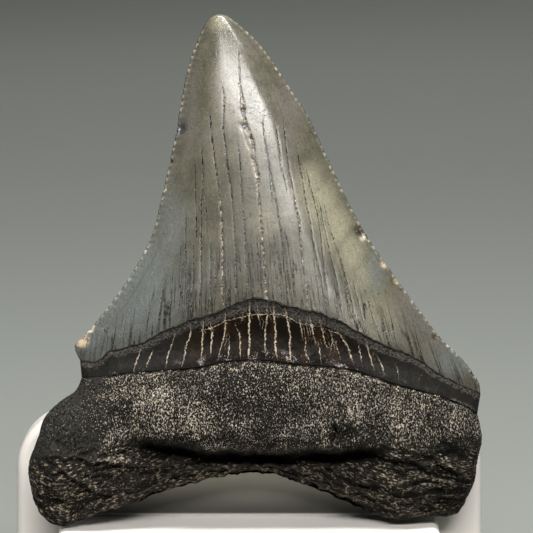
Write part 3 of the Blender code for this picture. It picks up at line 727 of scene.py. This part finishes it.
def build_crown(materials):
    """The enamel crown and the dark band under it, one closed piece that ends inside the root."""
    levels = list(np.linspace(0, 1, CROWN_ROWS + 1)) + [1.012]
    levels += list(np.linspace(1.03, 1.975, BAND_ROWS)) + [2.0, 2.03]
    points, faces, front, front_faces = pillow(levels, CROWN_SPACING, True, False)
    tuck(points, {2.0: 0.75, 2.03: 1.4})
    across, _, up, side, level = points.T.copy()
    flat = upright(across, up)

    # Ragged lower edge of the enamel
    above = up - np.interp(across, *LINES["crown"][1].T)
    ragged = 0.17 * lumps(flat, 0.55, 31) + 0.12 * lumps(flat, 1.6, 32)
    inner = np.clip((1 - np.abs(side)) * 12, 0, 1)
    points[:, 2] += ragged * bell(above, 0.5) * inner * (level < 1.6)

    # Serrations, and bites out of the edges
    rim, bead, outward, size = edge_facts(points)
    dents = sum(d * bell(np.hypot(across - x, up - z), r) for x, z, r, d, _ in CHIPS)
    shift = SERRATION_SWING * size * (bead - 0.75) * bell(rim, 0.4)
    shift -= 0.45 * dents * bell(rim, 0.9)
    points[:, 0:3:2] += outward * shift[:, None]

    # Relief of the front
    on_enamel = level <= 1.0
    cracks = line_field(across, up, CRACKS)
    veins = line_field(across, up, VEINS)
    signed, near, width, fill = [np.where(on_enamel, c, v) for c, v in zip(cracks, veins)]
    crest = side - 0.2 - 0.22 * rise(level, 0.15, 0.5)
    relief = 0.07 * bell(crest, 0.18) * rise(level, 0.05, 0.25) * (1 - rise(level, 0.35, 0.8))
    relief += 0.025 * lumps(flat, 6.0, 33) + 0.006 * lumps(flat, 1.3, 34)
    relief += 0.003 * lumps(flat, 0.5, 40)
    relief -= np.where(on_enamel, 0.5, 0.25) * bell(near, 0.13) * width
    fluting = lumps(upright(side * 55, level * 5), 1.0, 35)
    relief += 0.004 * fluting * rise(level, 0.6, 0.9) * on_enamel
    band = (~on_enamel) * rise(level, 1.0, 1.05)
    hollow = np.sin(math.pi * rise(level, 1.12, 1.97))
    relief -= band * (0.3 * hollow - 0.03 * lumps(flat, 0.9, 36) - 0.015 * lumps(flat, 0.4, 37))
    relief -= dents
    ridges = bell(rim, 0.85) * size * (1 - bell(rim, 0.15)) * (1 - bead)
    relief -= 0.15 * ridges

    # Relief of the rear, whose cracks are a guess from those of the front
    rear_relief = 0.06 * lumps(flat, 5.0, 38) + 0.012 * lumps(flat, 1.2, 39) - 0.08 * ridges
    rear_cracks = line_field(-0.9 * across + 2, up, CRACKS)
    rear_relief -= bell(rear_cracks[1], 0.22) * rear_cracks[2]
    inner = np.clip((1 - np.abs(side)) * 20, 0, 1)
    points[:, 1] += inner * np.where(front, -relief, rear_relief)

    *line, fill = [np.where(front, *pair) for pair in zip((signed, near, width, fill), rear_cracks)]
    attributes = {
        "fan": np.stack([side, level, front], -1),
        "line": np.stack(line, -1),
        "fill": fill,
        "rim": np.stack([rim, bead, size], -1),
        "above": above,
    }
    for kind in ("cream", "orange", "dark", "brown"):
        attributes[kind + "_chip"] = chip_weights(across, up, kind)
    for tint, patches in ENAMEL_PATCHES.items():
        attributes[tint] = patch_weight(across, up, patches)
    crown = tooth_piece("tooth_crown", points[:, :3], faces, attributes, materials)
    on_band = [k < front_faces and level[list(face)].max() > 1.0 for k, face in enumerate(faces)]
    crown.data.polygons.foreach_set("material_index", np.array(on_band, np.int32))
    return crown


def build_root(material):
    """The root, one closed piece that starts inside the crown."""
    levels = [1.94, 1.97] + [3 - (1 - row / ROOT_ROWS) ** 1.3 for row in range(ROOT_ROWS + 1)]
    points, faces, front, _ = pillow(levels, ROOT_SPACING, False, True)
    across, _, up, side, level = points.T.copy()
    flat = upright(across, up)

    # Ragged upper and lower edges
    inner = np.clip((1 - np.abs(side)) * 12, 0, 1)
    top = bell(level - 2, 0.05) * (level >= 2)
    points[:, 2] += inner * top * (0.16 * lumps(flat, 0.5, 41) + 0.14 * lumps(flat, 1.7, 42))
    arch = rise(level, 2.7, 2.95) * rise(up, 0.8, 1.6)
    points[:, 2] += arch * (0.2 * lumps(flat, 0.9, 50) + 0.12 * lumps(flat, 0.4, 51))

    relief, fibrous, depth_in, slits = root_relief(across, up, level, side)
    lip = rise(level, 2.0, 2.03) * bell(level - 2.03, 0.06)
    relief = relief * rise(level, 2.02, 2.12) + 0.22 * lip
    rear = 0.3 * lumps(flat, 4.0, 43) + 0.12 * lumps(flat, 1.4, 44)
    rear *= rise(level, 2.0, 2.15) * inner
    points[:, 1] += np.where(front, -relief * np.clip((1 - np.abs(side)) * 7, 0, 1), rear)
    tuck(points, {1.94: 1.3, 1.97: 0.6})

    # Grains and fibres, out along the surface
    space = points[:, :3].copy()
    grains = 0.6 * lumps(space, 0.34, 45) + 0.4 * lumps(space, 0.7, 46)
    height = 0.1 * grains + 0.11 * lumps(space, 1.5, 47) * (0.6 + fibrous)
    height *= rise(level, 1.98, 2.03)
    points[:, :3] += vertex_normals(space, faces) * height[:, None]

    # Where the pale grains show, and where the flank of the left lobe is worn smooth
    smooth_flank = rise(-across + 2.2 * lumps(flat, 1.6, 48), 17.0, 23.5) * rise(up, 6.5, 12.5)
    specks = (1 - 0.85 * smooth_flank) * (1 - 0.12 * fibrous)
    specks *= 1 + patch_weight(across, up + 0.5 * lumps(flat, 1.5, 52), ROOT_LIGHT_PATCHES)
    specks *= 1 - patch_weight(across, up + 0.8 * lumps(flat, 1.5, 49), ROOT_DARK_PATCHES)
    specks *= (1 - 0.95 * depth_in) * (1 - 0.6 * slits)
    specks *= rise(level, 1.995, 2.015)
    attributes = {
        "fan": np.stack([side, level, front], -1),
        "specks": np.where(front, specks, REAR_SPECKS),
        "fibrous": fibrous,
        "grains": grains,
        "flank": smooth_flank * front,
    }
    return tooth_piece("tooth_root", points[:, :3], faces, attributes, [material])


def node_sum(operation, swapped=False):
    """A method of Value that adds a Math node."""

    def apply(self, *others):
        values = (self, *others)
        return self.shader.calc(operation, *(values[::-1] if swapped else values))

    return apply


class Value:
    """What a node of a material gives, for use in plain arithmetic."""

    def __init__(self, shader, socket):
        self.shader = shader
        self.socket = socket

    __add__ = __radd__ = node_sum("ADD")
    __mul__ = __rmul__ = node_sum("MULTIPLY")
    __sub__ = node_sum("SUBTRACT")
    __rsub__ = node_sum("SUBTRACT", swapped=True)
    __truediv__ = node_sum("DIVIDE")
    __abs__ = node_sum("ABSOLUTE")


class Shader:
    """A material, with short ways to add the nodes that it uses. Its textures are laid out in the
    tooth's plane, in millimetres, or in the object's space, in metres."""

    def __init__(self, name, in_plane=True):
        self.material = bpy.data.materials.new(name)
        self.material.use_nodes = True
        self.tree = self.material.node_tree
        self.surface = self.tree.nodes["Principled BSDF"]
        if in_plane:
            self.place = self.attribute("plane", "Vector")
        else:
            self.place = self.node("TexCoord", {}, "Object")

    def put(self, socket, value):
        if isinstance(value, Value):
            self.tree.links.new(value.socket, socket)
        elif socket.type == "RGBA":
            socket.default_value = (*value, 1.0)
        else:
            socket.default_value = value

    def node(self, kind, inputs, output=0, **settings):
        made = self.tree.nodes.new("ShaderNode" + kind)
        for key, value in settings.items():
            setattr(made, key, value)
        for key, value in inputs.items():
            self.put(made.inputs[key], value)
        return Value(self, made.outputs[output])

    def calc(self, operation, *values):
        return self.node("Math", dict(enumerate(values)), operation=operation)

    def clamped(self, value):
        """The result of a sum or product, held between 0 and 1."""
        value.socket.node.use_clamp = True
        return value

    def attribute(self, name, output="Fac"):
        return self.node("Attribute", {}, output, attribute_name=name)

    def parts(self, vector):
        split = self.node("SeparateXYZ", {0: vector}).socket.node
        return [Value(self, output) for output in split.outputs]

    def joined(self, x, y, z=0.0):
        return self.node("CombineXYZ", {0: x, 1: y, 2: z})

    def noise(self, scale, detail=2.0, roughness=0.5, at=None):
        """A noise of a scale, or of a scale for each axis."""
        at = at or self.place
        if isinstance(scale, tuple):
            at = self.node("VectorMath", {0: at, 1: scale}, operation="MULTIPLY")
            scale = 1.0
        inputs = {"Vector": at, "Scale": scale, "Detail": detail, "Roughness": roughness}
        return self.node("TexNoise", inputs)

    def rise(self, value, low, high):
        inputs = {"Value": value, "From Min": low, "From Max": high}
        return self.node("MapRange", inputs, interpolation_type="SMOOTHSTEP")

    def fall(self, value, low, high):
        return 1.0 - self.rise(value, low, high)

    def mix(self, share, a, b, blend="MIX"):
        return self.node("Mix", {0: share, 6: a, 7: b}, 2, data_type="RGBA", blend_type=blend)

    def shade(self, colour, amount):
        """A colour made lighter or darker by a factor."""
        grey = self.node("CombineColor", dict.fromkeys(range(3), amount))
        return self.mix(1.0, colour, grey, "MULTIPLY")

    def bump(self, height, distance, normal=None):
        inputs = {"Height": height, "Distance": distance * MM}
        if normal is not None:
            inputs["Normal"] = normal
        return self.node("Bump", inputs)

    def finish(self, **inputs):
        for key, value in inputs.items():
            self.put(self.surface.inputs[key.replace("_", " ")], value)
        return self.material


def line_mask(s, wiggle, low, high, widen):
    """Where a surface line is: 1 on it. The lines waver by wiggle and vary in width."""
    signed, near, width = s.parts(s.attribute("line", "Vector"))
    waver = (s.noise(2.6, 4.0, 0.75) - 0.5) * wiggle
    reach = width * (3.2 * s.noise(3.0, 3.0, 0.7) - 0.7) * widen
    share = abs(signed + waver) / s.calc("MAXIMUM", reach, 0.001)
    return s.fall(share, low, high) * s.fall(near, 0.35, 0.5)


def enamel_material():
    s = Shader("enamel")
    side, level, front = s.parts(s.attribute("fan", "Vector"))
    above = s.attribute("above")
    rim, bead, size = s.parts(s.attribute("rim", "Vector"))

    # Stains and colour patches, with uneven borders; the pale patches are partly painted sheen and
    # the bluish ones painted reflection
    mottle = s.noise(0.35, 4.0, 0.6)
    colour = s.mix(s.rise(mottle, 0.3, 0.7), (0.056, 0.053, 0.037), (0.088, 0.083, 0.06))
    uneven = s.noise(0.22, 3.0) - 0.5
    for name, tint, reach in (
        ("pale", (0.19, 0.175, 0.145), 0.75),
        ("brown", (0.1, 0.09, 0.077), 0.8),
        ("yellow", (0.235, 0.222, 0.155), 0.74),
        ("blue_reflection", (0.115, 0.125, 0.12), 0.9),
    ):
        weight = s.rise(s.attribute(name) + 0.35 * uneven, -0.05, 0.95)
        colour = s.mix(weight * reach, colour, tint)
    streaks = s.noise(1.0, 3.0, at=s.joined(14.0 * side, 2.0 * level))
    colour = s.shade(colour, 0.6 * s.noise((3.0, 1.0, 1.2), 4.0, 0.65) + 0.7)
    colour = s.shade(colour, 1.5 * s.noise(5.0, 3.0, 0.7) + 0.25)
    colour = s.shade(colour, 0.36 * streaks + 0.82)
    flecks = s.rise(s.noise(3.6), 0.66, 0.71)
    colour = s.mix(0.75 * flecks, colour, (0.022, 0.02, 0.017))
    colour = s.shade(colour, 0.3 * s.rise(above, 2.0, 16.0) + 0.7)
    # Painted shade: the tip is made a little darker, holding back the top light on it
    colour = s.shade(colour, 0.1 * s.rise(level, 0.02, 0.1) + 0.9)

    # Fine dark striations that fan out over the lower part
    across, _, up = s.parts(s.place)
    spread = (across + 6.1) / (127.0 - up)
    lines = s.noise(1.0, 2.0, 0.4, at=s.joined(152.0 * spread, 0.085 * up, 0.37))
    thin = s.fall(abs(lines - 0.5), 0.016, 0.054)
    starts = s.noise(1.0, 1.0, at=s.joined(95.0 * spread, 3.0))
    shown = s.fall(above + 9.0 * starts + 7.0 * side * side, 8.0, 17.0)
    dashes = s.rise(s.noise(1.9, 3.0, 0.65), 0.38, 0.55)
    striae = thin * shown * (0.5 * dashes + 0.5)
    colour = s.mix(striae, colour, (0.013, 0.0105, 0.007))

    # Cracks, some filled with pale sediment
    broken = s.rise(s.noise(3.0, 2.0, 0.6), 0.39, 0.53)
    crack = line_mask(s, 0.5, 0.6, 1.3, 1.4) * (0.6 * broken + 0.4)
    colour = s.mix(0.96 * crack, colour, (0.009, 0.0065, 0.0045))
    filled = s.noise(2.3, 3.0, 0.7) + 0.38 * s.attribute("fill")
    filled = s.rise(filled, 0.68, 0.72) * crack
    sediment = s.mix(s.rise(s.noise(1.6), 0.4, 0.6), (0.26, 0.17, 0.09), (0.4, 0.33, 0.23))
    colour = s.mix(0.8 * filled, colour, sediment)

    # Worn pale serrations with dark nicks between them
    spotty = s.rise(s.noise(1.7, 3.0, 0.7), 0.4, 0.62)
    pale = s.fall(rim, 0.12, 0.5) * s.rise(bead, 0.5, 0.9) * spotty
    pale = s.clamped(pale * (0.85 * size))
    bead_tint = s.mix(s.rise(s.noise(0.9), 0.4, 0.6), (0.4, 0.355, 0.27), (0.33, 0.33, 0.31))
    colour = s.mix(pale, colour, bead_tint)
    nick = s.clamped(s.fall(rim, 0.15, 0.8) * s.fall(bead, 0.2, 0.7) * (0.75 * size))
    colour = s.mix(nick, colour, (0.1, 0.09, 0.07))

    rough_chip = s.noise(2.4, 3.0, 0.6)
    for name, tint, low in (
        ("cream_chip", (0.35, 0.3, 0.215), 0.36),
        ("orange_chip", (0.34, 0.26, 0.165), 0.36),
        ("dark_chip", (0.04, 0.04, 0.042), 0.33),
        ("brown_chip", (0.03, 0.022, 0.015), 0.36),
    ):
        weight = s.attribute(name) * s.rise(rough_chip, low, low + 0.14)
        colour = s.mix(weight, colour, tint)

    # Dark line along the lower edge of the enamel at the front: painted shade of the gap under it
    border = s.fall(above - 0.4 * s.noise(2.2, 3.0, 0.7), -0.12, 0.02) * front
    colour = s.mix(border, colour, (0.02, 0.016, 0.012))
    roughness = 0.12 * s.noise(0.8, 4.0, 0.6) + 0.13 + 0.25 * pale

    # Pits, fine grain and growth lines that follow the enamel's edge
    pits = 0.5 * s.rise(s.noise(2.6, 3.0, 0.65), 0.34, 0.42) - flecks
    growth = s.noise(1.0, 3.0, 0.6, at=s.joined(9.0 * side, 210.0 * level))
    surface = s.noise(4.2, 3.0, 0.75) + 0.45 * growth
    fine = s.bump(surface + pits, 0.018)
    normal = s.bump(-1.0 * (crack + 0.2 * striae), 0.03, fine)
    return s.finish(
        Base_Color=colour, Roughness=roughness, Normal=normal, IOR=1.63, Specular_IOR_Level=0.5
    )


def band_material():
    s = Shader("dark_band")
    side, level, _ = s.parts(s.attribute("fan", "Vector"))
    below = -1.0 * s.attribute("above")

    # A matter grey strip under the enamel, deep brown-black below it, greyer towards both ends
    middle = s.fall(abs(side + 0.02), 0.25, 0.62)
    ragged = 1.6 * (s.noise(1.1, 4.0, 0.65) - 0.5)
    strip = s.fall(below + ragged + abs(side), 1.6, 1.9)
    colour = s.mix(middle, (0.0105, 0.0097, 0.0083), (0.0045, 0.003, 0.0018))
    rusty = s.rise(s.noise((0.8, 0.8, 0.28), 3.0), 0.45, 0.65) * middle
    colour = s.mix(0.5 * rusty, colour, (0.024, 0.011, 0.0035))
    crumb = s.rise(s.noise((3.2, 3.2, 5.12), 3.0, 0.7), 0.38, 0.62)
    colour = s.mix(strip, colour, s.mix(crumb, (0.004, 0.0035, 0.003), (0.054, 0.049, 0.042)))
    colour = s.shade(colour, 1.3 * s.noise((3.52, 1.6, 1.6), 4.0, 0.6) + 0.35)

    # Whitish specks towards the root: pale grains, with painted glints along the rough lower edge
    # of the band
    lower = s.rise(level, 1.72, 1.92) * (0.75 * middle + 0.25)
    specks = s.rise(s.noise(5.5, 3.0, 0.7) + 0.9 * s.noise(0.55), 1.05, 1.15)
    specks = 0.75 * specks * lower
    colour = s.mix(specks, colour, (0.36, 0.345, 0.33))

    # Cross cracks, filled with pale sediment
    solid = s.rise(s.noise(2.2, 3.0, 0.7), 0.36, 0.52)
    vein = line_mask(s, 0.75, 0.45, 1.0, 1.0) * (0.8 * solid + 0.15)
    tint = s.mix(s.rise(s.noise(1.2), 0.4, 0.6), (0.36, 0.31, 0.24), (0.42, 0.345, 0.255))
    colour = s.mix(vein, colour, tint)

    # Shadowed gap under the enamel and above the root
    border = s.fall(below - 0.35 * s.noise(2.2, 3.0, 0.7), -0.12, 0.0)
    seam = s.rise(level + 0.16 * s.noise(1.6, 3.0, 0.7), 2.015, 2.05)
    colour = s.mix(s.calc("MAXIMUM", border, seam), colour, (0.006, 0.005, 0.004))

    roughness = 0.3 * s.noise(1.4, 4.0, 0.6) + 0.17
    matt = s.calc("MAXIMUM", s.calc("MAXIMUM", strip, vein), 2.0 * s.rise(level, 1.86, 1.94))
    roughness = s.clamped(roughness + 0.2 * matt)
    fine = s.bump(s.noise((4.8, 3.0, 2.4), 4.0, 0.7), 0.06)
    normal = s.bump(s.calc("MAXIMUM", vein, specks), 0.03, fine)
    return s.finish(
        Base_Color=colour, Roughness=roughness, Normal=normal, IOR=1.5, Specular_IOR_Level=0.07
    )


def root_material():
    s = Shader("root_bone")
    side, level, _ = s.parts(s.attribute("fan", "Vector"))
    density = s.attribute("specks")
    fibrous = s.attribute("fibrous")
    colour = s.mix(s.noise(0.4, 3.0), (0.0018, 0.0016, 0.0013), (0.006, 0.0054, 0.0045))
    worn = s.rise(s.noise(2.6, 4.0, 0.75), 0.34, 0.66)
    colour = s.mix(worn * s.attribute("flank"), colour, (0.042, 0.0415, 0.037))

    # Pale grains, slightly upright on the cushion and drawn out along the fibres elsewhere
    standing = s.noise((6.2, 5.0, 3.3), 2.0, 0.6)
    drawn = s.noise(1.0, 3.0, 0.65, at=s.joined(50.0 * side, 70.0 * level, 2.0))
    grains = s.node("Mix", {0: fibrous, 2: standing, 3: drawn}, 0, data_type="FLOAT")
    grains = grains + 0.05 * s.attribute("grains")
    patch = s.noise(0.24, 4.0, 0.6) - 0.5
    share = 0.15 * density + 0.13 * patch + 0.01 * fibrous
    speck = s.rise(grains + share, 0.665, 0.745)
    tint = s.mix(s.rise(s.noise(1.8), 0.35, 0.65), (0.44, 0.38, 0.285), (0.27, 0.25, 0.23))
    tint = s.mix(0.6 * fibrous, tint, (0.34, 0.275, 0.185))
    bright = s.clamped(3.4 * s.noise(3.4, 2.0, 0.6) - 0.9) * (2.0 * patch + 1.0)
    tint = s.shade(tint, bright * (1.0 - 0.4 * fibrous))
    dim = s.rise(s.noise((9.0, 7.0, 6.0), 2.0, 0.6), 0.48, 0.62) * s.clamped(0.8 * density)
    colour = s.mix(dim, colour, (0.045, 0.04, 0.032))
    colour = s.mix(0.85 * speck, colour, tint)
    roughness = s.clamped(0.3 * s.noise(2.0, 3.0) + 0.33 + 0.25 * speck)
    normal = s.bump(s.noise(9.0, 2.0, 0.6), 0.04, s.bump(grains, 0.3))
    return s.finish(
        Base_Color=colour, Roughness=roughness, Normal=normal, IOR=1.5, Specular_IOR_Level=0.025
    )


def plastic_material():
    s = Shader("moulded_plastic", in_plane=False)
    broad = s.noise(60.0, 3.0)
    colour = s.mix(broad, (0.5, 0.474, 0.438), (0.55, 0.523, 0.487))
    x, y, z = [1000.0 * value for value in s.parts(s.place)]
    # Painted light: the shelf's top under the tooth is painted paler than the plate, standing in
    # for the light that the tooth's shadow keeps off it
    above_shelf = s.rise(z, 12.1, 12.5)
    shelf_painted_light = s.rise(y, -10.0, -4.0) * s.fall(y, 6.4, 6.9) * s.fall(abs(x), 26.2, 26.6)
    colour = s.mix(shelf_painted_light * (1.0 - above_shelf), colour, (0.88, 0.85, 0.8))
    # Painted shade: the plate's face behind the tooth's arch is darkened for the tooth's shadow,
    # darkest towards the shelf
    arch_painted_shade = s.fall(abs(x) + 6.0 * (broad - 0.5), 19.0, 27.0) * above_shelf
    arch_painted_shade = arch_painted_shade * s.fall(z, 21.0, 25.0) * s.rise(y, 5.0, 6.6) * s.fall(y, 10.5, 12.0)
    painted_shade_tint = s.mix(s.rise(z, 12.5, 18.5), (0.042, 0.04, 0.031), (0.44, 0.43, 0.365))
    colour = s.mix(arch_painted_shade, colour, painted_shade_tint)
    dust = s.rise(s.noise(2600.0), 0.7, 0.8)
    colour = s.mix(0.12 * dust, colour, (0.4, 0.37, 0.33))
    roughness = 0.2 * s.noise(180.0, 4.0) + 0.3
    normal = s.bump(s.noise(110.0), 0.12, s.bump(s.noise(3200.0, 3.0, 0.6), 0.01))
    return s.finish(Base_Color=colour, Roughness=roughness, Normal=normal, IOR=1.5)


def plate_face(height):
    """How far to the rear the leaning front face of the plate is at a height."""
    return STAND_REAR - PLATE_TOP_THICKNESS - (PLATE_HEIGHT - height) * math.tan(LEAN)


def prism(name, first, second, turned=False):
    """A solid between two outlines in millimetres. Its edges are rounded but on the ground."""
    count = len(first)
    after = [(k + 1) % count for k in range(count)]
    faces = [tuple(range(count)), tuple(range(2 * count - 1, count - 1, -1))]
    faces += [(count + k, count + after[k], after[k], k) for k in range(count)]
    if turned:
        faces = [face[::-1] for face in faces]
    obj = new_object(name, np.array([*first, *second]) * MM, faces)
    shell = bmesh.new()
    shell.from_mesh(obj.data)
    bmesh.ops.recalc_face_normals(shell, faces=shell.faces)
    edges = []
    for edge in shell.edges:
        on_ground = all(vert.co.z < 0.01 * MM for vert in edge.verts)
        if not on_ground and edge.calc_face_angle() > math.radians(30):
            edges.append(edge)
    width = EDGE_ROUND * MM
    bmesh.ops.bevel(shell, geom=edges, offset=width, segments=8, profile=0.5, affect="EDGES")
    shell.to_mesh(obj.data)
    shell.free()
    return obj


def build_stand(material):
    """A leaning back plate with round upper corners, and a shelf in front of it, in one piece."""
    half = PLATE_WIDTH / 2
    outline = [(-half, 0.0), (half, 0.0)]
    for side in (1, -1):
        for step in range(25):
            turn = math.radians(step * 90 / 24)
            if side < 0:
                turn = math.pi / 2 - turn
            across = side * (half - PLATE_CORNER + PLATE_CORNER * math.cos(turn))
            outline.append((across, PLATE_HEIGHT - PLATE_CORNER + PLATE_CORNER * math.sin(turn)))
    front = [(x, plate_face(z), z) for x, z in outline]
    stand = prism("display_stand", front, [(x, STAND_REAR, z) for x, z in outline])
    half = SHELF_WIDTH / 2
    corners = [(-half, STAND_FRONT), (half, STAND_FRONT), (half, SHELF_REAR), (-half, SHELF_REAR)]
    ends = [[(x, y, z) for x, y in corners] for z in (0.0, SHELF_HEIGHT)]
    shelf = prism("shelf", *ends, turned=True)

    join = stand.modifiers.new("shelf", "BOOLEAN")
    join.operation = "UNION"
    join.solver = "EXACT"
    join.object = shelf
    graph = bpy.context.evaluated_depsgraph_get()
    stand.data = bpy.data.meshes.new_from_object(stand.evaluated_get(graph))
    stand.modifiers.clear()
    bpy.data.objects.remove(shelf)
    stand.data.materials.clear()
    stand.data.materials.append(material)
    shade_smooth(stand.data)
    stand.data.set_sharp_from_angle(angle=math.radians(35))
    even = stand.modifiers.new("even_shading", "WEIGHTED_NORMAL")
    even.keep_sharp = True
    return stand


def build_surroundings():
    """A plain floor that curves up into a backdrop, well clear of the object."""
    profile = [(-1.6, 0.0), (0.9, 0.0)]
    for turn in np.radians(np.linspace(0, 90, 25)[1:]):
        profile.append((0.9 + 0.5 * math.sin(turn), 0.5 - 0.5 * math.cos(turn)))
    profile.append((1.4, 1.6))
    points = [(x, y, z) for y, z in profile for x in (-1.8, 1.8)]
    faces = [(2 * k, 2 * k + 1, 2 * k + 3, 2 * k + 2) for k in range(len(profile) - 1)]
    floor = new_object("floor", points, faces)
    shade_smooth(floor.data)
    s = Shader("backdrop", in_plane=False)
    _, y, _ = s.parts(s.place)
    # Painted shading: the floor is painted darker near the object and paler far back, setting how
    # the backdrop's brightness falls across the view
    colour = s.mix(s.rise(y, 0.3, 0.75), (0.178, 0.19, 0.176), (0.246, 0.258, 0.238))
    colour = s.shade(colour, 0.1 * s.noise(2.5) + 0.95)
    floor.data.materials.append(s.finish(Base_Color=colour, Roughness=0.9))
    return floor


def area_light(name, place, target, size, power, colour):
    light = bpy.data.lights.new(name, "AREA")
    light.shape = "RECTANGLE"
    light.size, light.size_y = size
    light.energy = power
    light.color = colour
    lamp = bpy.data.objects.new(name, light)
    lamp.location = place
    direction = np.array(target) - np.array(place)
    x, y, z = direction / np.linalg.norm(direction)
    lamp.rotation_euler = (math.acos(-z), 0.0, math.atan2(y, x) - math.pi / 2)
    lamp.visible_camera = False
    bpy.context.scene.collection.objects.link(lamp)
    return lamp


def aimed(azimuth, elevation, distance):
    """A place in front of the tooth: degrees to the right, degrees up and metres away."""
    turn, lift = math.radians(azimuth), math.radians(elevation)
    ahead = distance * math.cos(lift)
    return ahead * math.sin(turn), -ahead * math.cos(turn), MIDDLE[2] + distance * math.sin(lift)


# Middle of the object, which the lights aim at
MIDDLE = (0.0, 0.0, 0.045)

crown = build_crown((enamel_material(), band_material()))
root = build_root(root_material())
stand = build_stand(plastic_material())
for piece, node in ((crown, "tooth"), (root, "tooth"), (stand, "stand")):
    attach(piece, "root")
    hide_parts(node)
build_surroundings()

# Camera, square to the tooth's plane
CAMERA_DISTANCE = 0.45
VIEW_WIDTH = 0.07355
SENSOR_WIDTH = 36.0
CENTRE_ACROSS = 2.415
CENTRE_UP = 34.98
camera = bpy.data.objects.new("camera", bpy.data.cameras.new("camera"))
bpy.context.scene.collection.objects.link(camera)
centre = seated(np.array([[CENTRE_ACROSS, 0.0, CENTRE_UP]]))[0]
camera.location = (
    centre[0],
    centre[1] - CAMERA_DISTANCE * math.cos(LEAN),
    centre[2] + CAMERA_DISTANCE * math.sin(LEAN),
)
camera.rotation_euler = (math.pi / 2 - LEAN, 0.0, 0.0)
camera.data.sensor_width = SENSOR_WIDTH
camera.data.lens = SENSOR_WIDTH * CAMERA_DISTANCE / VIEW_WIDTH
camera.data.clip_start = 0.01
camera.data.clip_end = 10.0
bpy.context.scene.camera = camera

# Soft studio light: a large soft box above and to the right, a weak one from the left front
area_light("key", aimed(22, 37, 0.6), MIDDLE, (0.22, 0.1), 1.7, (1.0, 0.985, 0.96))
area_light("top", aimed(5, 74, 0.5), MIDDLE, (0.42, 0.13), 5.8, (1.0, 0.99, 0.97))
area_light("veil", aimed(-9, 37, 0.6), MIDDLE, (0.36, 0.085), 1.9, (1.0, 0.985, 0.975))
area_light("far", (0.3, 0.9, 0.65), (0.25, 0.95, 0.0), (1.2, 0.4), 1.8, (1.0, 1.0, 1.0))
area_light("rear", (-0.25, 0.5, 0.42), MIDDLE, (0.3, 0.3), 0.2, (1.0, 0.99, 0.98))
world = bpy.data.worlds.new("world")
bpy.context.scene.world = world
world.use_nodes = True
world.node_tree.nodes["Background"].inputs["Color"].default_value = (0.5, 0.51, 0.52, 1.0)
world.node_tree.nodes["Background"].inputs["Strength"].default_value = 0.07
bpy.context.scene.view_settings.view_transform = "Standard"
